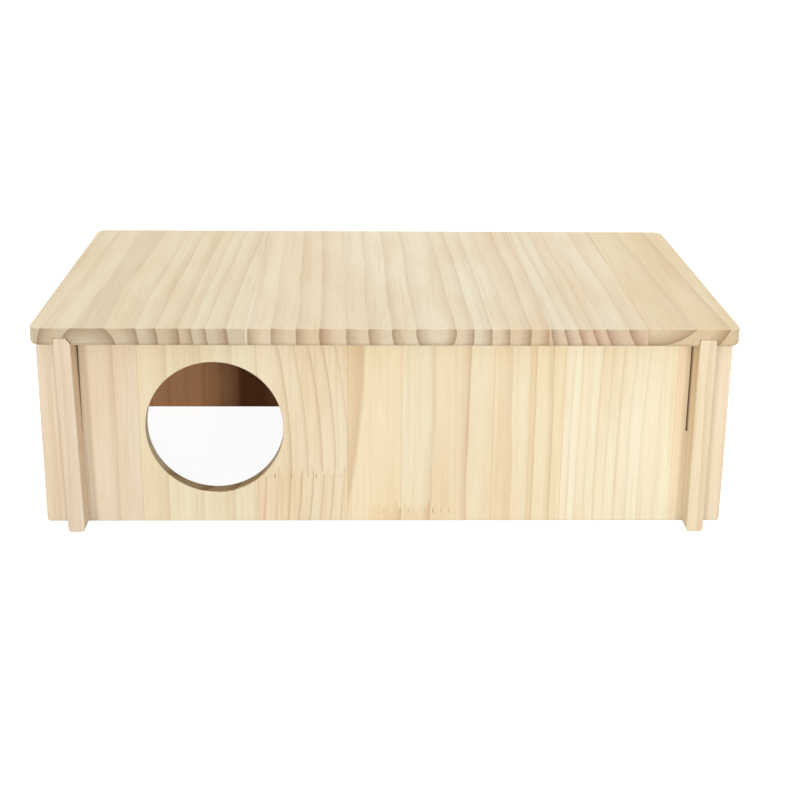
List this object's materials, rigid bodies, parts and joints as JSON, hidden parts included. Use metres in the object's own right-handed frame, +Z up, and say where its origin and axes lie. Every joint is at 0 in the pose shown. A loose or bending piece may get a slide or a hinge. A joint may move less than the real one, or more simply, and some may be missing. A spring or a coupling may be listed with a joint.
{
  "type": "wooden hamster house",
  "caption": "Low bottomless pine hamster house of slotted boards with a round entrance in the front, an inner dividing wall with a doorway, and a loose flat lid that lifts off.",
  "frame": {"origin": "middle of the footprint, on the floor", "axes": "+X along the house, to the right of someone who faces the entrance; +Y from the front to the back; +Z up"},
  "size_m": [0.3054, 0.19, 0.0944],
  "materials": {
    "panel_pine": "sanded bare pine, edge-glued staves, upright grain",
    "lid_pine": "sanded bare pine, edge-glued staves, grain from front to back"
  },
  "bodies": {
    "house": {"front_panel": "panel_pine", "back_panel": "panel_pine", "left_side_panel": "panel_pine", "right_side_panel": "panel_pine", "divider_panel": "panel_pine"},
    "lid": {"lid": "lid_pine"}
  },
  "joints": [
    {"name": "lid_lift", "type": "slide", "parent": "house", "child": "lid", "axis": [0, 0, 1], "range_m": [0, 0.15]}
  ]
}
